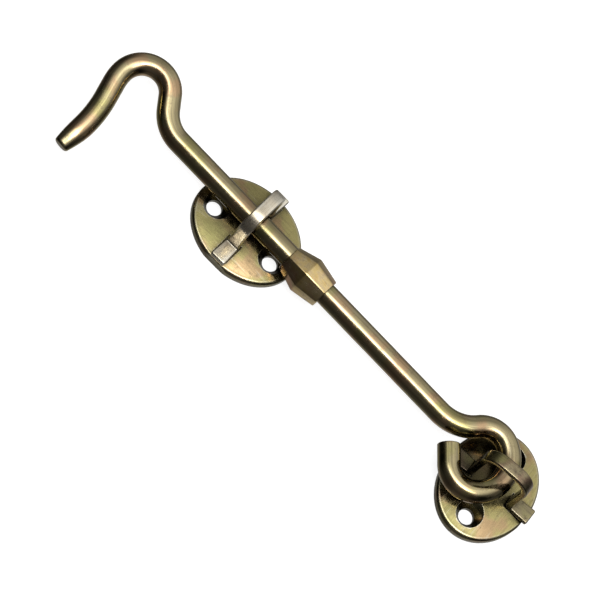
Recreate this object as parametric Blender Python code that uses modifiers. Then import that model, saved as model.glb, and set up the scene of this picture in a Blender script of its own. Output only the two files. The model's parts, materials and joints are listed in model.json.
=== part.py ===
"""Cabin hook: a bent brass rod whose ring eye is linked through the staple of an anchor plate.

A second, loose catch plate rides on the rod by its own staple, between a flared collar and the hook.
Metres, +Z up. Both plates lie with their flat backs on z = 0. The origin is the centre of the anchor
plate's back, and the rod runs along +X from the ring eye to the hook, parallel to the plates.
The hook's own plane is turned a little about the rod, so that its tip comes down towards z = 0.
"""
import math

import bpy
from mathutils import Matrix, Vector

OBJECT_NAME = "cabin_hook"

# Driving dimensions, in metres and degrees.
ROD_RADIUS = 0.00303
ROD_HEIGHT = 0.0083          # rod axis above the plates' backs
ROD_Y = -0.00174             # rod axis, to the side of the anchor's centre
NECK_START_X = 0.02248       # where the straight rod ends and the eye's bends begin
HOOK_START_X = 0.11805       # where the straight rod ends and the hook's bends begin
EYE_CENTRE = (0.0068, -0.00055)
EYE_BENDS = (                # neck, three bends of an open, slightly oval ring, and its straight free end
    ("bend", 0.01195, 54.8), ("bend", 0.0068, -81.0), ("bend", 0.00964, -112.7), ("bend", 0.0066, -88.0),
    ("line", 0.0054),
)
HOOK_BENDS = (
    ("bend", 0.01008, -51.4), ("line", 0.0037), ("bend", 0.00722, 143.9), ("bend", 0.01287, 15.1),
    ("line", 0.0047), ("bend", 0.03245, -20.5), ("line", 0.0057),
)
HOOK_TILT = 12.0             # degrees; the hook's plane is turned about the rod, with the tip towards the wall
ARC_STEP = 6.0               # degrees between points on a bend
TIP_TAPER_LENGTH = 0.0080
TIP_SCALE = 0.66

COLLAR_START_X = 0.0642
COLLAR_LENGTH = 0.0131
COLLAR_WIDEST = 0.0069       # from the anchor-side end to the widest section
COLLAR_END_RADIUS = 0.0043
COLLAR_WIDE_RADIUS = 0.0056
COLLAR_NOSE_RADIUS = 0.0037
COLLAR_SIDES = 8
COLLAR_EDGE = 0.00025
COLLAR_EDGE_ANGLE = 12.0     # edges that turn more than this are softened
COLLAR_SIDE = 0.0003         # the filed facets are this far off the bore's axis

PLATE_LENGTH = 0.0319
PLATE_WIDTH = 0.0257
PLATE_CROWN = 0.0045         # height of the dome at its centre
PLATE_RIM = 0.0030
RIM_ROUND = 0.0009
FLAT_HALF_WIDTH = 0.0125     # the oval is cut flat behind each staple foot
SCREW_SPACING = 0.0202
ANCHOR_SCREW_SIDE = -0.0005   # the holes are drilled a little to one side of the long axis
CATCH_SCREW_SIDE = 0.0015
SCREW_HOLE_RADIUS = 0.00215
SCREW_HOLE_DEPTH = 0.0014    # straight part of the hole, below the countersink
COUNTERSINK_RADIUS = 0.0037

STRAP_WIDTH = 0.0035         # over the crown; the strap widens down to FOOT_WIDTH at its ends
FOOT_WIDTH = 0.0045
WIDENING_LENGTH = 0.0120
STRAP_THICKNESS = 0.0017
STAPLE_TOP = 0.0202
STAPLE_HALF_WIDTH = 0.0065   # to the middle of each leg
STAPLE_SIDE = -0.0005        # the staple sits a little off the plate's centre
STAPLE_CORNER = 0.0046
FOOT_BEND = 0.0012
FOOT_END = 0.0129
STRAP_EDGE = 0.0003
SEAT_FLOOR = 0.0029

CATCH_CENTRE = (0.08985, -0.00085)
ANCHOR_TURN = 276.0          # degrees about Z, from the rod's direction to the plate's long axis
CATCH_TURN = 1.0
GAP = 0.0003                 # clearance between touching pieces
OVERCUT = 0.001              # how far a cutter reaches past what it cuts
MERGE = 0.00001
BORE_STEPS = 40
PLATE_STEPS = 80

BRASS_LIGHT = (0.52, 0.42, 0.20, 1.0)
BRASS_MID = (0.40, 0.31, 0.15, 1.0)
BRASS_DARK = (0.30, 0.22, 0.11, 1.0)


def clear_scene():
    for obj in list(bpy.data.objects):
        bpy.data.objects.remove(obj, do_unlink=True)


def new_collection(name):
    collection = bpy.data.collections.new(name)
    bpy.context.scene.collection.children.link(collection)
    return collection


def antique_brass(name, colour, roughness):
    material = bpy.data.materials.new(name)
    material.use_nodes = True
    shader = material.node_tree.nodes["Principled BSDF"]
    shader.inputs["Base Color"].default_value = colour
    shader.inputs["Metallic"].default_value = 1.0
    shader.inputs["Roughness"].default_value = roughness
    material.diffuse_color = colour
    return material


def add_object(name, data, collection, material=None):
    obj = bpy.data.objects.new(name, data)
    collection.objects.link(obj)
    if material:
        data.materials.append(material)
    return obj


def add_empty(name, location, collection, turn=0.0):
    empty = bpy.data.objects.new(name, None)
    empty.empty_display_size = 0.01
    empty.location = location
    empty.rotation_euler = (0.0, 0.0, math.radians(turn))
    collection.objects.link(empty)
    return empty


def realised(obj, name, collection, material):
    """The evaluated mesh of obj as a plain mesh object, welded; obj itself is removed."""
    bpy.context.view_layer.update()
    evaluated = obj.evaluated_get(bpy.context.evaluated_depsgraph_get())
    mesh = bpy.data.meshes.new_from_object(evaluated)
    mesh.materials.clear()
    place = obj.matrix_world.copy()
    bpy.data.objects.remove(obj, do_unlink=True)
    result = add_object(name, mesh, collection, material)
    result.matrix_world = place
    return result


def smooth(obj, angle=35.0):
    obj.data.shade_smooth()
    obj.data.set_sharp_from_angle(angle=math.radians(angle))


def as_cutter(obj):
    obj.hide_render = True
    obj.display_type = "WIRE"


def cut(obj, cutter):
    modifier = obj.modifiers.new("cut_" + cutter.name, "BOOLEAN")
    modifier.operation = "DIFFERENCE"
    modifier.solver = "EXACT"
    modifier.object = cutter


def turned(name, profile, steps, collection):
    """A solid turned about Z; the profile of (radius, height) runs from the top down its outer side."""
    mesh = bpy.data.meshes.new(name)
    mesh.from_pydata([(r, 0.0, z) for r, z in profile], [(i, i + 1) for i in range(len(profile) - 1)], [])
    obj = add_object(name, mesh, collection)
    screw = obj.modifiers.new("turn", "SCREW")
    screw.steps = screw.render_steps = steps
    screw.use_merge_vertices = True
    screw.merge_threshold = MERGE
    return obj


def box_cutter(name, low, high, collection):
    size = [b - a for a, b in zip(low, high)]
    bpy.ops.mesh.primitive_cube_add(size=1.0)
    obj = bpy.context.object
    obj.name = name
    centre = [(a + b) / 2 for a, b in zip(low, high)]
    obj.data.transform(Matrix.Translation(centre) @ Matrix.Diagonal((*size, 1.0)))
    for owner in list(obj.users_collection):
        owner.objects.unlink(obj)
    collection.objects.link(obj)
    return obj


def walk(start, heading, steps, arc_step=ARC_STEP):
    """Points along straights ("line", length) and bends ("bend", radius, degrees; left is positive)."""
    points = [Vector(start)]
    angle = math.radians(heading)
    for step in steps:
        here = points[-1]
        if step[0] == "line":
            points.append(here + step[1] * Vector((math.cos(angle), math.sin(angle))))
            continue
        radius, turn = step[1], math.radians(step[2])
        side = math.copysign(1.0, turn)
        centre = here + side * radius * Vector((-math.sin(angle), math.cos(angle)))
        count = max(2, round(abs(step[2]) / arc_step))
        for i in range(1, count + 1):
            a = angle + turn * i / count
            points.append(centre - side * radius * Vector((-math.sin(a), math.cos(a))))
        angle += turn
    return points


def eye_centre():
    return Vector((*EYE_CENTRE, ROD_HEIGHT))


def rod_axis():
    """Centreline of the whole rod, from the eye's free end to the hook's tip, with the rod itself on z = 0."""
    eye = walk((NECK_START_X, ROD_Y), 180.0, EYE_BENDS)
    hook = walk((HOOK_START_X, 0.0), 0.0, HOOK_BENDS)
    tilt = math.radians(HOOK_TILT)
    return [Vector((p.x, p.y, 0.0)) for p in reversed(eye)] + [
        Vector((p.x, ROD_Y + p.y * math.cos(tilt), -p.y * math.sin(tilt))) for p in hook]


def resample_tip(points):
    """Adds points along the last straight so that its taper is even."""
    end, before = points[-1], points[-2]
    extra = [before.lerp(end, i / 4) for i in range(1, 4)]
    return points[:-1] + extra + [end]


def hook_rod(collection, material, pivot):
    points = resample_tip(rod_axis())
    centre = eye_centre()
    curve = bpy.data.curves.new("hook_rod", "CURVE")
    curve.dimensions = "3D"
    curve.bevel_depth = ROD_RADIUS
    curve.bevel_resolution = 8
    curve.use_fill_caps = True
    spline = curve.splines.new("POLY")
    spline.points.add(len(points) - 1)
    to_tip = 0.0
    for index in range(len(points) - 1, -1, -1):
        place = points[index]
        if index < len(points) - 1:
            to_tip += (points[index + 1] - place).length
        taper = min(1.0, to_tip / TIP_TAPER_LENGTH)
        point = spline.points[index]
        point.co = (place.x - centre.x, place.y - centre.y, place.z, 1.0)
        point.radius = TIP_SCALE + (1.0 - TIP_SCALE) * math.sin(taper * math.pi / 2)
    spline.use_smooth = True
    rod = add_object("hook_rod", curve, collection, material)
    rod.parent = pivot


def stop_collar(collection, cutters, material, pivot):
    """A faceted sleeve, widest near its middle, that stops the catch plate sliding to the eye."""
    centre = eye_centre()
    blank = turned("collar_blank", [
        (0.0, COLLAR_LENGTH),
        (COLLAR_NOSE_RADIUS, COLLAR_LENGTH),
        (COLLAR_WIDE_RADIUS, COLLAR_WIDEST),
        (COLLAR_END_RADIUS, 0.0),
        (0.0, 0.0),
    ], COLLAR_SIDES, collection)
    collar = realised(blank, "stop_collar", collection, material)
    facet_up = Matrix.Rotation(math.radians(180.0 / COLLAR_SIDES), 4, "Z")
    lay_down = Matrix.Rotation(math.radians(90.0), 4, "Y")
    collar.data.transform(lay_down @ facet_up)
    collar.parent = pivot
    collar.location = (COLLAR_START_X - centre.x, ROD_Y + COLLAR_SIDE - centre.y, 0.0)
    bevel = collar.modifiers.new("soft_edges", "BEVEL")
    bevel.width = COLLAR_EDGE
    bevel.segments = 2
    bevel.limit_method = "ANGLE"
    bevel.angle_limit = math.radians(COLLAR_EDGE_ANGLE)
    bore_radius = ROD_RADIUS + GAP
    high, low = COLLAR_LENGTH + OVERCUT, -OVERCUT
    bore_profile = [(0.0, high), (bore_radius, high), (bore_radius, low), (0.0, low)]
    bore = turned("collar_bore", bore_profile, BORE_STEPS, cutters)
    bore.location = (0.0, -COLLAR_SIDE, 0.0)
    bore.rotation_euler = (0.0, math.radians(90.0), 0.0)
    bore.parent = collar
    as_cutter(bore)
    cut(collar, bore)


def dome_profile():
    """The plate's half section at full length: dome, rounded rim and flat back, from the axis outwards."""
    half = PLATE_LENGTH / 2
    shoulder = half - RIM_ROUND
    points = []
    for i in range(8):
        r = shoulder * i / 7
        points.append((r, PLATE_RIM + (PLATE_CROWN - PLATE_RIM) * (1.0 - (r / shoulder) ** 2)))
    for i in range(1, 5):
        a = math.radians(90.0 - 90.0 * i / 4)
        points.append((shoulder + RIM_ROUND * math.cos(a), PLATE_RIM - RIM_ROUND + RIM_ROUND * math.sin(a)))
    points.append((half, 0.0003))
    points.append((half - 0.0003, 0.0))
    points.append((0.0, 0.0))
    return points


def screw_hole_profile():
    """A straight hole through the back and a countersink that opens a little wider above the dome."""
    surface = PLATE_RIM + (PLATE_CROWN - PLATE_RIM) * (1.0 - (SCREW_SPACING / PLATE_LENGTH) ** 2)
    slope = (COUNTERSINK_RADIUS - SCREW_HOLE_RADIUS) / (surface - SCREW_HOLE_DEPTH)
    top = surface + OVERCUT
    return [
        (0.0, top),
        (COUNTERSINK_RADIUS + slope * OVERCUT, top),
        (SCREW_HOLE_RADIUS, SCREW_HOLE_DEPTH),
        (SCREW_HOLE_RADIUS, -OVERCUT),
        (0.0, -OVERCUT),
    ]


def rose_plate(name, screw_side, collection, cutters, material, parent):
    """A domed oval plate with two countersunk holes along its length and a seat for each staple foot."""
    blank = turned(name + "_blank", dome_profile(), PLATE_STEPS, collection)
    plate = realised(blank, name, collection, material)
    plate.data.transform(Matrix.Diagonal((1.0, PLATE_WIDTH / PLATE_LENGTH, 1.0, 1.0)))
    plate.parent = parent
    seat_start = STAPLE_HALF_WIDTH - STRAP_THICKNESS / 2 - GAP
    half_seat = FOOT_WIDTH / 2 + GAP
    reach, above = PLATE_LENGTH, PLATE_CROWN + OVERCUT
    for side, label in ((-1, "a"), (1, "b")):
        hole = turned(f"{name}_hole_{label}", screw_hole_profile(), BORE_STEPS, cutters)
        hole.location = (side * SCREW_SPACING / 2, screw_side, 0.0)
        seat_y = sorted((side * seat_start + STAPLE_SIDE, side * reach))
        seat = box_cutter(f"{name}_seat_{label}", (-half_seat, seat_y[0], SEAT_FLOOR),
                          (half_seat, seat_y[1], above), cutters)
        trim_y = sorted((side * FLAT_HALF_WIDTH, side * reach))
        trim = box_cutter(f"{name}_trim_{label}", (-reach, trim_y[0], -OVERCUT),
                          (reach, trim_y[1], above), cutters)
        for cutter in (hole, seat, trim):
            as_cutter(cutter)
            cutter.parent = parent
            cut(plate, cutter)
    smooth(plate, 30.0)


def strap_staple(name, collection, material, parent):
    """A flat strap bent up from one foot, over the arch and down to the other foot."""
    mid = STRAP_THICKNESS / 2
    foot_z = SEAT_FLOOR + GAP + mid
    foot_length = FOOT_END - STAPLE_HALF_WIDTH - FOOT_BEND
    leg = STAPLE_TOP - mid - STAPLE_CORNER - foot_z - FOOT_BEND
    crown = 2 * (STAPLE_HALF_WIDTH - STAPLE_CORNER)
    axis = walk(
        (-FOOT_END, foot_z), 0.0,
        [("line", foot_length), ("bend", FOOT_BEND, 90.0), ("line", leg), ("bend", STAPLE_CORNER, -90.0),
         ("line", crown), ("bend", STAPLE_CORNER, -90.0), ("line", leg), ("bend", FOOT_BEND, 90.0),
         ("line", foot_length)],
        arc_step=10.0,
    )
    run = [0.0]
    for before, after in zip(axis, axis[1:]):
        run.append(run[-1] + (after - before).length)
    half_widths = []
    for along in run:
        slimming = min(1.0, min(along, run[-1] - along) / WIDENING_LENGTH)
        half_widths.append((FOOT_WIDTH + (STRAP_WIDTH - FOOT_WIDTH) * slimming) / 2)
    count = len(axis)
    verts = [(side * half, p.x + STAPLE_SIDE, p.y) for side in (-1, 1) for p, half in zip(axis, half_widths)]
    faces = [(i, i + 1, count + i + 1, count + i) for i in range(count - 1)]
    mesh = bpy.data.meshes.new(name)
    mesh.from_pydata(verts, [], faces)
    staple = add_object(name, mesh, collection, material)
    solidify = staple.modifiers.new("thickness", "SOLIDIFY")
    solidify.thickness = STRAP_THICKNESS
    solidify.offset = 0.0
    solidify.use_even_offset = True
    bevel = staple.modifiers.new("soft_edges", "BEVEL")
    bevel.width = STRAP_EDGE
    bevel.segments = 2
    bevel.limit_method = "ANGLE"
    bevel.angle_limit = math.radians(50.0)
    staple.parent = parent
    smooth(staple)


def build():
    clear_scene()
    parts = new_collection(OBJECT_NAME)
    cutters = new_collection("cutters")
    anchor = add_empty("anchor_base", (0.0, 0.0, 0.0), parts, ANCHOR_TURN)
    pivot = add_empty("arm_pivot", eye_centre(), parts)
    carriage = add_empty("catch_carriage", (*CATCH_CENTRE, 0.0), parts, CATCH_TURN)
    hook_rod(parts, antique_brass("rod_brass", BRASS_LIGHT, 0.24), pivot)
    stop_collar(parts, cutters, antique_brass("collar_brass", BRASS_DARK, 0.3), pivot)
    for label, parent, side in (("anchor", anchor, ANCHOR_SCREW_SIDE), ("catch", carriage, CATCH_SCREW_SIDE)):
        brass = antique_brass(label + "_plate_brass", BRASS_MID, 0.3)
        rose_plate(label + "_plate", side, parts, cutters, brass, parent)
    strap_staple("anchor_staple", parts, antique_brass("anchor_staple_brass", BRASS_LIGHT, 0.34), anchor)
    strap_staple("catch_staple", parts, antique_brass("catch_staple_brass", BRASS_LIGHT, 0.34), carriage)
    bpy.context.view_layer.update()


build()
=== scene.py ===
"""Studio view of the cabin hook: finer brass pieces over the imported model, on a plain white floor.

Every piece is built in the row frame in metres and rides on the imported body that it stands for. The rod
and the straps are swept along their centrelines, and the plates and the collar are turned and then cut.
"""
import json
import math

import bpy
from mathutils import Matrix, Vector, noise


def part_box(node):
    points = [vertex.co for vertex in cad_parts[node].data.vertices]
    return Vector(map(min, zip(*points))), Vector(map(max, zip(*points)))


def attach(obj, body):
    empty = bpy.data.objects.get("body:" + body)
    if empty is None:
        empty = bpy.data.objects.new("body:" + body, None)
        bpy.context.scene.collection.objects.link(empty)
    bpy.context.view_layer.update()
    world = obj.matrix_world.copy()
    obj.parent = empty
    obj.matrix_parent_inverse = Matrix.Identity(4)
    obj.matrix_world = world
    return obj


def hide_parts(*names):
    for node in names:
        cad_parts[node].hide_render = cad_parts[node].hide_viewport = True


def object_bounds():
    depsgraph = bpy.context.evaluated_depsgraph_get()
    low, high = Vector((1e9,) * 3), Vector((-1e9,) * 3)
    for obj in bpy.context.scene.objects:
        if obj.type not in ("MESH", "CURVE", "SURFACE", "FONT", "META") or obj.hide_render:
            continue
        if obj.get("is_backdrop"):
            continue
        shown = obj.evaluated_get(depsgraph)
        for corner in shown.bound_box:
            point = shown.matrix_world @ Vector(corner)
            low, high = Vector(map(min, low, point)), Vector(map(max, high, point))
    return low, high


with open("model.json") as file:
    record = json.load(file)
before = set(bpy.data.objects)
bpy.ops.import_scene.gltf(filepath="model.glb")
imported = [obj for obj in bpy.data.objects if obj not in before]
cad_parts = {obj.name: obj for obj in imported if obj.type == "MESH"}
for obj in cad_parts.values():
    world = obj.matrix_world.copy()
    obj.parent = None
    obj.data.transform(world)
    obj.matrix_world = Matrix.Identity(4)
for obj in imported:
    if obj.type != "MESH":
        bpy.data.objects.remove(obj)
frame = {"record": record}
cad_low, cad_high = (Vector(corner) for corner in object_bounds())
joints = {joint["name"]: joint for joint in frame["record"]["behaviour"]["joints"]}
mounts = {mount["name"]: mount for mount in frame["record"]["mounts"]}
rod_z = joints["arm_swing"]["pos_m"][2]   # the swing joint's point is as high as the straight rod's axis

# Rod: straights ("line", length) and bends ("bend", radius, degrees; left is positive), as in the model.
ROD_Y = -0.00174
NECK_START_X = 0.02248       # the bends to the ring eye start here, towards -X
HOOK_START_X = 0.11805       # and those of the hook here, towards +X
EYE_BENDS = (
    ("bend", 0.01195, 54.8), ("bend", 0.0068, -81.0), ("bend", 0.00964, -112.7), ("bend", 0.0066, -88.0),
    ("line", 0.0054),
)
HOOK_BENDS = (
    ("bend", 0.01008, -51.4), ("line", 0.0037), ("bend", 0.00722, 143.9), ("bend", 0.01287, 15.1),
    ("line", 0.0047), ("bend", 0.03245, -20.5), ("line", 0.0057),
)
HOOK_TILT = math.radians(12.0)   # turn of the hook's plane about the rod, tip towards the wall
TWIST_START_X = 0.1000           # the straight rod twists by that much from here to the hook's first bend
ROD_RADIUS = 0.00303
ROD_SIDES = 64
TIP_TAPER_LENGTH = 0.0080
TIP_WIDTH = 0.70             # share of the rod's width and height that is left at the hook's tip
TIP_HEIGHT = 0.66
END_ROUND = 0.0006           # length of the rounding round the tip's cut face
END_FACE = 0.72              # share of the tip's width that the cut face keeps
CHAMFER = 0.00022            # of the cut face at the ring eye
DENT_DEPTH = 0.010           # share of the radius
DENTS_PER_METRE = 220.0

COLLAR_PROFILE = ((0.0131, 0.0037), (0.0069, 0.0056), (0.0, 0.0043))   # X from its start, radius
COLLAR_SIDES = 8
COLLAR_SIDE = 0.0003         # how far the collar sits to the side of the rod's axis
COLLAR_GAP = 0.00005         # between its bore and the rod
COLLAR_FLARE = 0.0004        # of the bore's two mouths
COLLAR_EDGE = 0.0003         # rounding between its facets
BORE_STEPS = 64

PLATE_WIDTH_SHARE = 0.0257 / 0.0319
PLATE_CROWN = 0.0045         # thickness in the middle
PLATE_RIM = 0.0030           # thickness where the rim's rounding starts
RIM_ROUND = 0.0011
BACK_ROUND = 0.0004
FLAT_HALF_WIDTH = 0.0125     # the plate's long sides are cut straight here
PLATE_STEPS = 192
DOME_STEPS = 24
RIM_STEPS = 8
SCREW_SPACING = 0.0202
SCREW_SIDES = {"anchor": -0.0005, "catch": 0.0015}   # how far the holes sit off the plate's long axis
SCREW_HOLE_RADIUS = 0.00215
SCREW_HOLE_DEPTH = 0.0014    # height over the back where the countersink ends
COUNTERSINK_RADIUS = 0.0037
LIP = 0.00025                # rounding of the countersink's upper edge
LIP_RISE = 0.00012           # height of the rounding's outer end over the surface
LIP_DROP = 0.00015           # and depth of its inner end
LIP_FLARE = 0.0016           # how much wider the countersink's tool is at its top, over the surface
HOLE_EDGE_OUT = 0.00006      # rounding where the countersink meets the hole, outwards
HOLE_EDGE_UP = 0.00008       # and upwards
HOLE_STEPS = 96
CUT_MARGIN = 0.001           # how far a cutting tool reaches past the surface that it cuts
CUT_TOP = 0.01               # higher than any plate
TURNS = {"anchor": 276.0, "catch": 1.0}   # degrees from the rod's direction to each plate's long axis

STRAP_WIDTH = 0.0035
FOOT_WIDTH = 0.0045
WIDENING_LENGTH = 0.0120
STRAP_THICKNESS = 0.0017
STRAP_EDGE = 0.00042         # rounding along the strap
STRAP_END = 0.00035          # rounding of its cut ends
CORNER_POINTS = 5
STAPLE_HALF_WIDTH = 0.0065
STAPLE_SIDE = -0.0005        # how far its middle sits off the plate's
STAPLE_CORNER = 0.0046
FOOT_BEND = 0.0012
FOOT_END = 0.0129            # from the staple's middle
FOOT_BOTTOM = 0.0032         # over the plate's back
SEAT_GAP = 0.0001            # between a foot and its seat in the plate

EDGE_ANGLE = math.radians(12.0)   # facets that meet at more than this get a bevel, where a piece has one
EDGE_SEGMENTS = 3
WEAR_START = 8.0                  # degrees outwards from which an edge is rubbed

# Brass. base, warm and olive are its patches of colour, dark its patina and worn its rubbed edges. patina is
# how strong the dark clouds are. The next setting is how dark the dirt in recesses and the painted shade near
# other surfaces get, such as the rod's painted shadow on the plates and staples, and relief is the bump.
# grain is the brushing's noise per metre on each axis: along and round a bent piece, or on the axes that the
# piece was built in.
FINISHES = {
    "rod": {
        "base": (0.50, 0.43, 0.25), "warm": (0.56, 0.39, 0.23), "olive": (0.43, 0.40, 0.16),
        "dark": (0.24, 0.185, 0.12), "worn": (0.78, 0.72, 0.55), "roughness": 0.12, "patina": 0.5,
        "grime_and_shade": 0.45, "relief": 1.0, "grain": (110.0, 2600.0, 1.0), "bent": True,
    },
    "collar": {
        "base": (0.62, 0.44, 0.15), "warm": (0.62, 0.31, 0.15), "olive": (0.55, 0.40, 0.13),
        "dark": (0.23, 0.14, 0.09), "worn": (0.88, 0.79, 0.58), "roughness": 0.17, "patina": 0.6,
        "grime_and_shade": 0.35, "relief": 1.0, "grain": (160.0, 2200.0, 2200.0), "bent": False,
    },
    "plate": {
        "base": (0.52, 0.46, 0.20), "warm": (0.54, 0.38, 0.21), "olive": (0.36, 0.34, 0.14),
        "dark": (0.22, 0.18, 0.10), "worn": (0.85, 0.80, 0.64), "roughness": 0.20, "patina": 0.6,
        "grime_and_shade": 0.92, "relief": 1.3, "grain": (190.0, 2400.0, 600.0), "bent": False,
    },
    "anchor_strap": {        # darker all over: painted shade, standing in for the shadow round the anchor's staple
        "base": (0.36, 0.31, 0.19), "warm": (0.27, 0.19, 0.13), "olive": (0.36, 0.34, 0.14),
        "dark": (0.09, 0.07, 0.055), "worn": (0.74, 0.70, 0.56), "roughness": 0.22, "patina": 0.9,
        "grime_and_shade": 0.92, "relief": 1.6, "grain": (150.0, 2600.0, 1.0), "bent": True,
    },
    "catch_strap": {         # paler all over: a painted highlight, standing in for the bright sheen on its pads and crown
        "base": (0.88, 0.84, 0.73), "warm": (0.76, 0.68, 0.54), "olive": (0.72, 0.68, 0.50),
        "dark": (0.36, 0.31, 0.24), "worn": (0.95, 0.93, 0.87), "roughness": 0.28, "patina": 0.5,
        "grime_and_shade": 0.92, "relief": 1.6, "grain": (150.0, 2600.0, 1.0), "bent": True,
    },
}
PATCHES_PER_METRE = 150.0    # warm patches
DRIFT_PER_METRE = 95.0       # olive patches
CLOUDS_PER_METRE = 520.0     # dark patina
SPECKS_PER_METRE = 1300.0
SCRATCH_SHARE = 0.35         # of the grain's fineness
DIRT_AND_SHADE_SHARE = 0.18            # brightness of the dirt and painted shade, as a share of the dark patina's
RECESS_SHADE_REACH = 0.010         # how far away a neighbouring surface still darkens a place with dirt and painted shade
RUBBED_GLOSS = -0.06         # change of roughness on rubbed edges
RELIEF_DEPTH = 0.00002
SOFT_EDGE = 0.00012          # radius of the smallest edges, in shading only

# Camera: looks down on the plates from above the rod's side, with the picture's top turned off the rod.
VIEW_RIGHT = Vector((-0.6932, -0.6606, 0.2882))
VIEW_UP = Vector((0.7203, -0.621, 0.3091))
AIM_OFFSET = Vector((0.00237, -0.00131, -0.00886))
PICTURE_WIDTH = 0.15385
LENS_HALF_ANGLE = math.radians(5.2)
SENSOR_WIDTH = 36.0

FLOOR_HALF = 3.0
FLOOR_DROP = 0.00005
FLOOR_THICKNESS = 0.01
FLOOR_GREY = 0.45
FLOOR_GLOW = 0.84

# Light over the angle from the zenith, in degrees: negative towards -Y, positive towards +Y.
ROOM_LIGHT = (
    (-180.0, 0.34), (-150.0, 0.30), (-98.0, 0.15), (-88.0, 0.38), (-50.0, 0.46), (-25.0, 0.72), (-6.0, 0.72),
    (20.0, 0.5), (30.0, 0.3), (42.0, 0.07), (92.0, 0.035), (135.0, 0.06), (160.0, 0.30), (180.0, 0.34),
)
SOFTBOX_LIGHT = ((5.0, 0.0), (12.0, 2.4), (19.0, 2.4), (27.0, 0.0))
SOFTBOX_MIDDLE = ((-14.0, 0.0), (2.0, 1.3), (10.0, 2.2), (19.0, 2.2), (27.0, 0.0))
# Each of them with its fading as the direction nears the rod's own: the direction's X where that starts and
# where it ends, and the share of the light that is left there.
STUDIO = ((ROOM_LIGHT, 0.52, 0.90, 0.12), (SOFTBOX_LIGHT, 0.35, 0.70, 0.0), (SOFTBOX_MIDDLE, 0.16, 0.50, 0.0))
GAIN_FROM_EYE_SIDE = (-0.22, 1.5)   # the direction's X, and the gain up to there
GAIN_FROM_HOOK_SIDE = (0.20, 0.80)  # and from there on
LIGHT_TINT = (1.0, 0.985, 0.95)


# ---------------------------------------------------------------- shapes

def walk(start, heading, steps, spacing=0.0003, arc_step=3.0):
    """Points along straights and bends in a plane."""
    points = [Vector(start)]
    angle = math.radians(heading)
    for step in steps:
        here = points[-1]
        if step[0] == "line":
            count = max(1, round(step[1] / spacing))
            ahead = Vector((math.cos(angle), math.sin(angle)))
            points += [here + ahead * step[1] * i / count for i in range(1, count + 1)]
            continue
        radius, turn = step[1], math.radians(step[2])
        side = math.copysign(1.0, turn)
        centre = here + side * radius * Vector((-math.sin(angle), math.cos(angle)))
        count = max(2, round(abs(step[2]) / arc_step))
        for i in range(1, count + 1):
            a = angle + turn * i / count
            points.append(centre - side * radius * Vector((-math.sin(a), math.cos(a))))
        angle += turn
    return points


def with_close_ends(path, after_start, before_end):
    """The path with more points in its first and last stretch, where the section is rounded off."""
    first = [path[0].lerp(path[1], share) for share in after_start]
    last = [path[-2].lerp(path[-1], share) for share in before_end]
    return path[:1] + first + path[1:-1] + last + path[-1:]


def distances(points):
    """Distance along the points from the first one."""
    run = [0.0]
    for before, after in zip(points, points[1:]):
        run.append(run[-1] + (after - before).length)
    return run


def new_object(name, mesh):
    obj = bpy.data.objects.new(name, mesh)
    bpy.context.scene.collection.objects.link(obj)
    return obj


def swept(name, path, section_at, place):
    """A closed solid along a plane path. section_at(i) lists (sideways, out of plane) points round point i.

    The "flow" UVs are metres along and round the solid, for grain that follows its bends.
    """
    run = distances(path)
    rings = []
    for i, point in enumerate(path):
        ahead = (path[min(i + 1, len(path) - 1)] - path[max(i - 1, 0)]).normalized()
        sideways = Vector((-ahead.y, ahead.x))
        rings.append([place(point + sideways * u, v) for u, v in section_at(i)])
    sides = len(rings[0])
    middle_ring = rings[len(rings) // 2]
    around = distances(middle_ring + middle_ring[:1])
    faces, spans = [], []
    for i in range(len(rings) - 1):
        for k in range(sides):
            after = (k + 1) % sides
            faces.append((i * sides + k, i * sides + after, (i + 1) * sides + after, (i + 1) * sides + k))
            spans.append(((run[i], around[k]), (run[i], around[k + 1]),
                          (run[i + 1], around[k + 1]), (run[i + 1], around[k])))
    last = (len(rings) - 1) * sides
    faces.append(tuple(reversed(range(sides))))
    faces.append(tuple(last + k for k in range(sides)))
    for end in (0, -1):
        middle = sum(rings[end], Vector()) / sides
        spans.append([((corner - middle).x + run[end], (corner - middle).y) for corner in rings[end]])
    mesh = bpy.data.meshes.new(name)
    mesh.from_pydata([corner for ring in rings for corner in ring], [], faces)
    flow = mesh.uv_layers.new(name="flow")
    flow.data.foreach_set("uv", [value for span in spans for pair in span for value in pair])
    return mesh


def turned(profile, steps):
    """A closed solid turned about Z; the profile of (radius, height) starts and ends on the axis."""
    inner = profile[1:-1]
    verts = [(0.0, 0.0, profile[0][1]), (0.0, 0.0, profile[-1][1])]
    for k in range(steps):
        a = 2 * math.pi * k / steps
        verts += [(r * math.cos(a), r * math.sin(a), z) for r, z in inner]
    count = len(inner)
    faces = []
    for k in range(steps):
        here, there = 2 + k * count, 2 + (k + 1) % steps * count
        faces.append((0, here, there))
        faces += [(here + i, here + i + 1, there + i + 1, there + i) for i in range(count - 1)]
        faces.append((1, there + count - 1, here + count - 1))
    mesh = bpy.data.meshes.new("turned")
    mesh.from_pydata(verts, [], faces)
    return mesh


def block(low, high):
    """A box between two corners."""
    corners = [(x, y, z) for x in (low[0], high[0]) for y in (low[1], high[1]) for z in (low[2], high[2])]
    faces = [(0, 1, 3, 2), (4, 6, 7, 5), (0, 4, 5, 1), (2, 3, 7, 6), (0, 2, 6, 4), (1, 5, 7, 3)]
    mesh = bpy.data.meshes.new("block")
    mesh.from_pydata(corners, [], faces)
    return mesh


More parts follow.
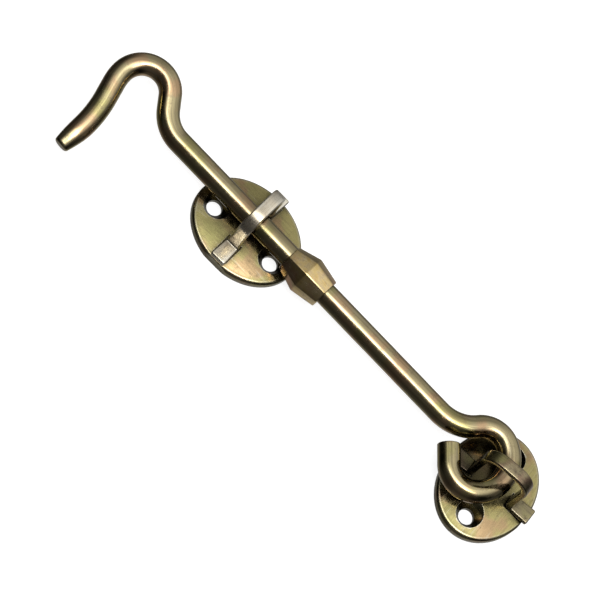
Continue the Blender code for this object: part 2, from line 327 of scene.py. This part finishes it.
def carved(name, mesh, tools, edge=None):
    """mesh with each tool mesh taken away from it, as a new object; the tools are thrown away."""
    blank = new_object(name, mesh)
    if edge:
        bevel = blank.modifiers.new("edges", "BEVEL")
        bevel.width, bevel.segments = edge, EDGE_SEGMENTS
        bevel.limit_method = "ANGLE"
        bevel.angle_limit = EDGE_ANGLE
    helpers = []
    for tool in tools:
        helper = new_object(name + "_tool", tool)
        helpers.append(helper)
        cut = blank.modifiers.new("cut", "BOOLEAN")
        cut.operation, cut.solver, cut.object = "DIFFERENCE", "EXACT", helper
    bpy.context.view_layer.update()
    result = bpy.data.meshes.new_from_object(blank.evaluated_get(bpy.context.evaluated_depsgraph_get()))
    for helper in helpers + [blank]:
        bpy.data.objects.remove(helper, do_unlink=True)
    return new_object(name, result)


def settle(obj, place):
    """Moves the mesh itself to its place in the row frame; "local" keeps the axes that its grain follows."""
    local = obj.data.attributes.new("local", "FLOAT_VECTOR", "POINT")
    local.data.foreach_set("vector", [value for vertex in obj.data.vertices for value in vertex.co])
    obj.data.transform(place)


def mark_wear(obj, full_angle=40.0):
    """Writes how sharply the surface turns outwards at each point; 1 is full_angle degrees or more."""
    mesh = obj.data
    mesh.update()
    normals = [face.normal.copy() for face in mesh.polygons]
    centres = [face.center.copy() for face in mesh.polygons]
    owners = {}
    for face in mesh.polygons:
        for key in face.edge_keys:
            owners.setdefault(key, []).append(face.index)
    wear = [0.0] * len(mesh.vertices)
    for (a, b), faces in owners.items():
        if len(faces) != 2:
            continue
        one, other = faces
        outward = (centres[other] - centres[one]).dot(normals[one]) < 0
        angle = math.degrees(normals[one].angle(normals[other], 0.0))
        if outward and angle > WEAR_START:
            for vertex in (a, b):
                wear[vertex] = max(wear[vertex], min(1.0, angle / full_angle))
    mesh.attributes.new("wear", "FLOAT", "POINT").data.foreach_set("value", wear)


# ---------------------------------------------------------------- brass

def colour(r, g, b):
    return (r, g, b, 1.0)


def node(tree, kind, settings=None, **sockets):
    """A new node; a socket is given by name, or as _0, _1 by number, as a value or another node's output."""
    made = tree.nodes.new(kind)
    for key, value in (settings or {}).items():
        setattr(made, key, value)
    for key, value in sockets.items():
        socket = made.inputs[int(key[1:])] if key[0] == "_" else made.inputs[key.replace("_", " ")]
        if isinstance(value, bpy.types.NodeSocket):
            tree.links.new(value, socket)
        else:
            socket.default_value = value
    return made


def mixed(tree, share, first, second, how="MIX"):
    made = node(tree, "ShaderNodeMix", {"data_type": "RGBA", "blend_type": how},
                _0=share, _6=first, _7=second)
    return made.outputs[2]


def between(tree, value, low, high, start=0.0, end=1.0):
    """start up to low and end from high on, with an eased passage."""
    made = node(tree, "ShaderNodeMapRange", {"interpolation_type": "SMOOTHSTEP"},
                Value=value, From_Min=low, From_Max=high, To_Min=start, To_Max=end)
    return made.outputs["Result"]


def computed(tree, how, first, second):
    return node(tree, "ShaderNodeMath", {"operation": how}, _0=first, _1=second).outputs[0]


def clouds(tree, place, per_metre, detail, roughness, seed):
    """Noise from 0 to 1, with its own fineness on each axis."""
    start = (seed, seed * 0.7, seed * 1.3)
    moved = node(tree, "ShaderNodeMapping", Vector=place, Scale=per_metre, Location=start).outputs[0]
    made = node(tree, "ShaderNodeTexNoise", Vector=moved, Scale=1.0, Detail=detail, Roughness=roughness)
    return made.outputs["Fac"]


def antique_brass(name, finish, seed):
    """Worn antique brass: cloudy patina, specks, grain along one direction, edges rubbed bright, and dirt
    with painted shade where other surfaces are near.
    """
    material = bpy.data.materials.new(name)
    material.use_nodes = True
    tree = material.node_tree
    shader = tree.nodes["Principled BSDF"]
    layers = ("base", "warm", "olive", "dark", "worn")
    base, warm, olive, dark, worn = (colour(*finish[layer]) for layer in layers)
    dirt_and_shade = colour(*(DIRT_AND_SHADE_SHARE * c for c in finish["dark"]))
    grain = finish["grain"]
    scratch_grain = tuple(SCRATCH_SHARE * g for g in grain)
    roughness = finish["roughness"]

    # Patterns.
    solid = node(tree, "ShaderNodeTexCoord").outputs["Object"]
    if finish["bent"]:
        brushed = node(tree, "ShaderNodeUVMap", {"uv_map": "flow"}).outputs[0]
    else:
        brushed = node(tree, "ShaderNodeAttribute", {"attribute_name": "local"}).outputs["Vector"]
    patches = clouds(tree, solid, (PATCHES_PER_METRE,) * 3, 3.0, 0.5, seed)
    drift = clouds(tree, solid, (DRIFT_PER_METRE,) * 3, 2.0, 0.5, seed + 6.0)
    cloudy = clouds(tree, solid, (CLOUDS_PER_METRE,) * 3, 7.0, 0.62, seed + 3.1)
    fine = clouds(tree, brushed, grain, 5.0, 0.6, seed)
    scratches = between(tree, clouds(tree, brushed, scratch_grain, 2.0, 0.5, seed + 9.0), 0.60, 0.66)
    cells = node(tree, "ShaderNodeTexVoronoi", Vector=solid, Scale=SPECKS_PER_METRE).outputs["Distance"]
    specks = computed(tree, "MULTIPLY", between(tree, cells, 0.10, 0.20, 1.0, 0.0),
                      between(tree, cloudy, 0.50, 0.62))
    wear = node(tree, "ShaderNodeAttribute", {"attribute_name": "wear"}).outputs["Fac"]
    rubbed = computed(tree, "MULTIPLY", wear, between(tree, cloudy, 0.30, 0.60, 0.35, 1.0))
    # Nearness of other surfaces, which drives the dirt in recesses and the painted shade.
    recess_shade = node(tree, "ShaderNodeAmbientOcclusion", {"samples": 6}, Distance=RECESS_SHADE_REACH).outputs["AO"]

    # Colour: each layer over the one before.
    tint = mixed(tree, between(tree, patches, 0.46, 0.62), base, warm)
    tint = mixed(tree, between(tree, drift, 0.50, 0.64, 0.0, 0.8), tint, olive)
    tint = mixed(tree, between(tree, cloudy, 0.50, 0.74, 0.0, finish["patina"]), tint, dark)
    tint = mixed(tree, between(tree, fine, 0.40, 0.75, 0.0, 0.45), tint, dark)
    tint = mixed(tree, computed(tree, "MULTIPLY", scratches, 0.18), tint, worn)
    tint = mixed(tree, computed(tree, "MULTIPLY", specks, 0.75), tint, dark)
    tint = mixed(tree, rubbed, tint, worn)
    # Dirt in recesses and painted shade: darker where other surfaces are near, which also paints the rod's
    # shadow onto the plates and staples.
    tint = mixed(tree, between(tree, recess_shade, 0.40, 0.97, finish["grime_and_shade"], 0.0), tint, dirt_and_shade)
    tree.links.new(tint, shader.inputs["Base Color"])
    shader.inputs["Metallic"].default_value = 1.0

    # Roughness: duller under the patina, uneven along the grain, glossier on rubbed edges.
    matte = between(tree, cloudy, 0.35, 0.75, roughness - 0.05, roughness + 0.16)
    matte = computed(tree, "ADD", matte, between(tree, fine, 0.3, 0.7, -0.03, 0.05))
    matte = computed(tree, "ADD", matte, computed(tree, "MULTIPLY", rubbed, RUBBED_GLOSS))
    tree.links.new(matte, shader.inputs["Roughness"])

    # Relief: grain and clouds, with the specks as pits.
    height = computed(tree, "ADD", fine, computed(tree, "MULTIPLY", specks, -1.2))
    height = computed(tree, "ADD", height, computed(tree, "MULTIPLY", cloudy, 0.8))
    soft_edge = node(tree, "ShaderNodeBevel", {"samples": 4}, Radius=SOFT_EDGE).outputs[0]
    relief = node(tree, "ShaderNodeBump", Strength=0.5, Distance=RELIEF_DEPTH * finish["relief"],
                  Height=height, Normal=soft_edge)
    tree.links.new(relief.outputs[0], shader.inputs["Normal"])
    return material


def finish_piece(obj, material, body, node_name, sharp_from):
    """Gives the piece its material, keeps edges over sharp_from degrees sharp and ties it to its CAD node."""
    obj.data.materials.clear()
    obj.data.materials.append(material)
    obj.data.shade_smooth()
    obj.data.set_sharp_from_angle(angle=math.radians(sharp_from))
    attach(obj, body)
    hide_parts(node_name)


# ---------------------------------------------------------------- the arm

def in_rod_frame(point, out):
    """Row frame place of a point of the rod's plan, at a distance out of its plane; the hook is tilted."""
    share = min(1.0, max(0.0, (point.x - TWIST_START_X) / (HOOK_START_X - TWIST_START_X)))
    tilt = HOOK_TILT * share
    return Vector((point.x, ROD_Y + point.y * math.cos(tilt) + out * math.sin(tilt),
                   rod_z - point.y * math.sin(tilt) + out * math.cos(tilt)))


def rod_section(path):
    """Section of the rod at each path point: dented, chamfered at the eye, drawn down to the hook's tip."""
    run = distances(path)
    total = run[-1]

    def at(i):
        from_start, to_tip = run[i], total - run[i]
        taper = math.sin(min(1.0, to_tip / TIP_TAPER_LENGTH) * math.pi / 2)
        wide, high = (share + (1.0 - share) * taper for share in (TIP_WIDTH, TIP_HEIGHT))
        along_end = min(1.0, to_tip / END_ROUND)
        rounding = END_FACE + (1.0 - END_FACE) * math.sqrt(1.0 - (1.0 - along_end) ** 2)
        chamfer = 1.0 - CHAMFER / ROD_RADIUS * max(0.0, 1.0 - from_start / CHAMFER)
        along = path[i] * DENTS_PER_METRE
        points = []
        for k in range(ROD_SIDES):
            a = 2 * math.pi * k / ROD_SIDES - math.pi / 2
            spot = Vector((along.x, along.y + math.cos(a), 0.7 * math.sin(a)))
            dent = 1.0 - DENT_DEPTH * max(0.0, noise.noise(spot) + 0.1)
            size = ROD_RADIUS * rounding * chamfer * dent
            points.append((-size * wide * math.cos(a), size * high * math.sin(a)))
        return points
    return at


def make_rod():
    eye = walk((NECK_START_X, 0.0), 180.0, EYE_BENDS)
    straight = walk((NECK_START_X, 0.0), 0.0, [("line", HOOK_START_X - NECK_START_X)], spacing=0.0012)
    hook = walk((HOOK_START_X, 0.0), 0.0, HOOK_BENDS, spacing=0.0002)
    path = list(reversed(eye)) + straight[1:] + hook[1:]
    path = with_close_ends(path, (0.35, 0.73), (0.3, 0.55, 0.75, 0.9))
    rod = new_object("hook_rod_forged", swept("hook_rod_forged", path, rod_section(path), in_rod_frame))
    mark_wear(rod)
    brass = antique_brass("rod_antique_brass", FINISHES["rod"], seed=1.0)
    finish_piece(rod, brass, "arm", "hook_rod", sharp_from=50.0)


def make_collar():
    low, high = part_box("stop_collar")
    length = high.x - low.x
    share = length / COLLAR_PROFILE[0][0]
    profile = [(0.0, length)] + [(r, x * share) for x, r in COLLAR_PROFILE] + [(0.0, 0.0)]
    bore = ROD_RADIUS + COLLAR_GAP
    mouth = bore + COLLAR_FLARE + CUT_MARGIN
    tool = [(0.0, length + CUT_MARGIN), (mouth, length + CUT_MARGIN), (bore, length - COLLAR_FLARE),
            (bore, COLLAR_FLARE), (mouth, -CUT_MARGIN), (0.0, -CUT_MARGIN)]
    lay_down = Matrix.Rotation(math.radians(90.0), 4, "Y")
    facet_up = Matrix.Rotation(math.pi / COLLAR_SIDES, 4, "Z")
    blank = turned(profile, COLLAR_SIDES)
    blank.transform(lay_down @ facet_up)
    hole = turned(tool, BORE_STEPS)
    hole.transform(Matrix.Translation((0.0, -COLLAR_SIDE, 0.0)) @ lay_down)
    collar = carved("stop_collar_filed", blank, [hole], edge=COLLAR_EDGE)
    settle(collar, Matrix.Translation((low.x, ROD_Y + COLLAR_SIDE, rod_z)))
    mark_wear(collar)
    brass = antique_brass("collar_antique_brass", FINISHES["collar"], seed=4.0)
    finish_piece(collar, brass, "arm", "stop_collar", sharp_from=24.0)


# ---------------------------------------------------------------- plates and staples

def plate_height(share):
    """Height of the domed face at a share of the way from the middle to the rim's rounding."""
    return PLATE_RIM + (PLATE_CROWN - PLATE_RIM) * (1.0 - share ** 2)


def plate_profile(half):
    """Profile of a round plate of that half width: domed face, rounded rim, flat back."""
    shoulder = half - RIM_ROUND
    points = [(shoulder * i / DOME_STEPS, plate_height(i / DOME_STEPS)) for i in range(DOME_STEPS + 1)]
    for i in range(1, RIM_STEPS + 1):
        a = math.radians(90.0 - 90.0 * i / RIM_STEPS)
        points.append((shoulder + RIM_ROUND * math.cos(a), PLATE_RIM - RIM_ROUND + RIM_ROUND * math.sin(a)))
    back = [(half, BACK_ROUND), (half - BACK_ROUND / 4, BACK_ROUND / 4), (half - BACK_ROUND, 0.0), (0.0, 0.0)]
    return points + back


def screw_hole(half):
    """Profile of the tool for one countersunk hole, with the countersink's edges slightly rounded."""
    surface = plate_height(SCREW_SPACING / 2 / half)
    top = surface + CUT_MARGIN
    return [
        (0.0, top), (COUNTERSINK_RADIUS + LIP_FLARE, top), (COUNTERSINK_RADIUS + LIP, surface + LIP_RISE),
        (COUNTERSINK_RADIUS, surface - LIP_DROP),
        (SCREW_HOLE_RADIUS + HOLE_EDGE_OUT, SCREW_HOLE_DEPTH + HOLE_EDGE_UP),
        (SCREW_HOLE_RADIUS, SCREW_HOLE_DEPTH), (SCREW_HOLE_RADIUS, -CUT_MARGIN), (0.0, -CUT_MARGIN),
    ]


def on_plate(label):
    """Row frame matrix of a plate: on its mount, with its long axis turned."""
    turn = Matrix.Rotation(math.radians(TURNS[label]), 4, "Z")
    return Matrix.Translation(mounts[label + "_back"]["pos_m"]) @ turn


def make_plate(label, seed):
    low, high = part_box(label + "_plate")
    half = max(high - low) / 2
    blank = turned(plate_profile(half), PLATE_STEPS)
    blank.transform(Matrix.Diagonal((1.0, PLATE_WIDTH_SHARE, 1.0, 1.0)))
    tools = []
    half_seat = FOOT_WIDTH / 2 + SEAT_GAP
    seat_start = STAPLE_HALF_WIDTH - STRAP_THICKNESS / 2 - SEAT_GAP
    for side in (-1, 1):
        hole = turned(screw_hole(half), HOLE_STEPS)
        hole.transform(Matrix.Translation((side * SCREW_SPACING / 2, SCREW_SIDES[label], 0.0)))
        seat_y = sorted((side * seat_start + STAPLE_SIDE, side * half))
        trim_y = sorted((side * FLAT_HALF_WIDTH, side * half))
        tools += [
            hole,
            block((-half_seat, seat_y[0], FOOT_BOTTOM - SEAT_GAP / 2), (half_seat, seat_y[1], CUT_TOP)),
            block((-half, trim_y[0], -CUT_MARGIN), (half, trim_y[1], CUT_TOP)),
        ]
    plate = carved(label + "_rose", blank, tools)
    settle(plate, on_plate(label))
    mark_wear(plate)
    brass = antique_brass(label + "_rose_brass", FINISHES["plate"], seed)
    finish_piece(plate, brass, label, label + "_plate", sharp_from=28.0)


def strap_section(path):
    """Rounded flat section of the strap, narrower over the crown, with its cut ends eased."""
    run = distances(path)

    def at(i):
        to_end = min(run[i], run[-1] - run[i])
        slimming = min(1.0, to_end / WIDENING_LENGTH)
        slimming = slimming * slimming * (3.0 - 2.0 * slimming)
        along_end = min(1.0, to_end / STRAP_END)
        easing = STRAP_END * (1.0 - math.sqrt(1.0 - (1.0 - along_end) ** 2))
        wide = (FOOT_WIDTH + (STRAP_WIDTH - FOOT_WIDTH) * slimming) / 2 - easing
        thick = STRAP_THICKNESS / 2 - easing
        edge = min(STRAP_EDGE, thick * 0.9)
        points = []
        for side_u, side_v, start in ((1, 1, 0), (-1, 1, 90), (-1, -1, 180), (1, -1, 270)):
            corner_u, corner_v = side_u * (thick - edge), side_v * (wide - edge)
            for step in range(CORNER_POINTS):
                a = math.radians(start + 90.0 * step / (CORNER_POINTS - 1))
                points.append((corner_u + edge * math.cos(a), corner_v + edge * math.sin(a)))
        return list(reversed(points))
    return at


def make_staple(label, seed):
    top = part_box(label + "_staple")[1].z
    half_strap = STRAP_THICKNESS / 2
    foot_z = FOOT_BOTTOM + half_strap
    foot_length = FOOT_END - STAPLE_HALF_WIDTH - FOOT_BEND
    leg = top - half_strap - STAPLE_CORNER - foot_z - FOOT_BEND
    crown = 2 * (STAPLE_HALF_WIDTH - STAPLE_CORNER)
    path = walk((-FOOT_END, foot_z), 0.0, [
        ("line", foot_length), ("bend", FOOT_BEND, 90.0), ("line", leg), ("bend", STAPLE_CORNER, -90.0),
        ("line", crown), ("bend", STAPLE_CORNER, -90.0), ("line", leg), ("bend", FOOT_BEND, 90.0),
        ("line", foot_length),
    ], arc_step=5.0)
    path = with_close_ends(path, (0.12, 0.35, 0.65), (0.35, 0.65, 0.88))
    mesh = swept(label + "_strap", path, strap_section(path),
                 lambda point, out: Vector((out, point.x + STAPLE_SIDE, point.y)))
    staple = new_object(label + "_strap", mesh)
    settle(staple, on_plate(label))
    mark_wear(staple, full_angle=25.0)
    brass = antique_brass(label + "_strap_brass", FINISHES[label + "_strap"], seed)
    finish_piece(staple, brass, label, label + "_staple", sharp_from=40.0)


# ---------------------------------------------------------------- studio

def make_camera():
    """Aims at a point near the middle of the CAD box, from where PICTURE_WIDTH fills the frame."""
    data = bpy.data.cameras.new("camera")
    camera = new_object("camera", data)
    bpy.context.scene.camera = camera
    data.sensor_width = SENSOR_WIDTH
    data.lens = SENSOR_WIDTH / 2 / math.tan(LENS_HALF_ANGLE)
    right = VIEW_RIGHT.normalized()
    back = right.cross(VIEW_UP).normalized()
    up = back.cross(right)
    distance = PICTURE_WIDTH / 2 / math.tan(LENS_HALF_ANGLE)
    place = (cad_low + cad_high) / 2 + AIM_OFFSET + back * distance
    turn = Matrix((right, up, back)).transposed().to_4x4()
    camera.matrix_world = Matrix.Translation(place) @ turn


def make_floor():
    """A glowing white floor, which stays white round the object and isn't mirrored in the brass."""
    centre = (cad_low + cad_high) / 2
    low = (centre.x - FLOOR_HALF, centre.y - FLOOR_HALF, -FLOOR_DROP - FLOOR_THICKNESS)
    high = (centre.x + FLOOR_HALF, centre.y + FLOOR_HALF, -FLOOR_DROP)
    floor = new_object("floor", block(low, high))
    material = bpy.data.materials.new("floor_white")
    material.use_nodes = True
    shader = material.node_tree.nodes["Principled BSDF"]
    shader.inputs["Base Color"].default_value = colour(FLOOR_GREY, FLOOR_GREY, FLOOR_GREY)
    shader.inputs["Roughness"].default_value = 0.9
    shader.inputs["Emission Color"].default_value = colour(1.0, 1.0, 1.0)
    shader.inputs["Emission Strength"].default_value = FLOOR_GLOW
    floor.data.materials.append(material)
    floor.visible_glossy = False
    floor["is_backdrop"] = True


def light_by_angle(tree, share, stops):
    """A smooth curve of light over the angle across the rod, from (degrees, light) stops; zenith is 0."""
    ramp = node(tree, "ShaderNodeValToRGB", _0=share)
    ramp.color_ramp.interpolation = "EASE"
    elements = ramp.color_ramp.elements
    elements.remove(elements[-1])
    for index, (degrees, light) in enumerate(stops):
        position = (degrees + 180.0) / 360.0
        element = elements[0] if index == 0 else elements.new(position)
        element.position = position
        element.color = colour(light, light, light)
    return ramp.outputs[0]


def make_light():
    """The studio as a sky: a softbox overhead, a pale wall on one side, dark on the other, a grey table."""
    world = bpy.data.worlds.new("studio")
    bpy.context.scene.world = world
    world.use_nodes = True
    tree = world.node_tree
    direction = node(tree, "ShaderNodeTexCoord").outputs["Generated"]
    parts = node(tree, "ShaderNodeSeparateXYZ", Vector=direction)
    along = parts.outputs["X"]
    across = computed(tree, "ARCTAN2", parts.outputs["Y"], parts.outputs["Z"])
    turn = node(tree, "ShaderNodeMapRange", Value=across, From_Min=-math.pi, From_Max=math.pi)
    off_axis = node(tree, "ShaderNodeMath", {"operation": "ABSOLUTE"}, _0=along).outputs[0]
    total = 0.0
    for stops, fade_start, fade_end, left in STUDIO:
        fading = between(tree, off_axis, fade_start, fade_end, 1.0, left)
        light = computed(tree, "MULTIPLY", light_by_angle(tree, turn.outputs["Result"], stops), fading)
        total = computed(tree, "ADD", total, light)
    (eye_x, eye_gain), (hook_x, hook_gain) = GAIN_FROM_EYE_SIDE, GAIN_FROM_HOOK_SIDE
    total = computed(tree, "MULTIPLY", total, between(tree, along, eye_x, hook_x, eye_gain, hook_gain))
    background = tree.nodes["Background"]
    tree.links.new(mixed(tree, 1.0, total, colour(*LIGHT_TINT), "MULTIPLY"), background.inputs["Color"])
    background.inputs["Strength"].default_value = 1.0


make_rod()
make_collar()
for index, label in enumerate(("anchor", "catch")):
    make_plate(label, seed=10.0 + 7.0 * index)
    make_staple(label, seed=30.0 + 7.0 * index)
make_camera()
make_floor()
make_light()
bpy.context.scene.view_settings.view_transform = "Standard"
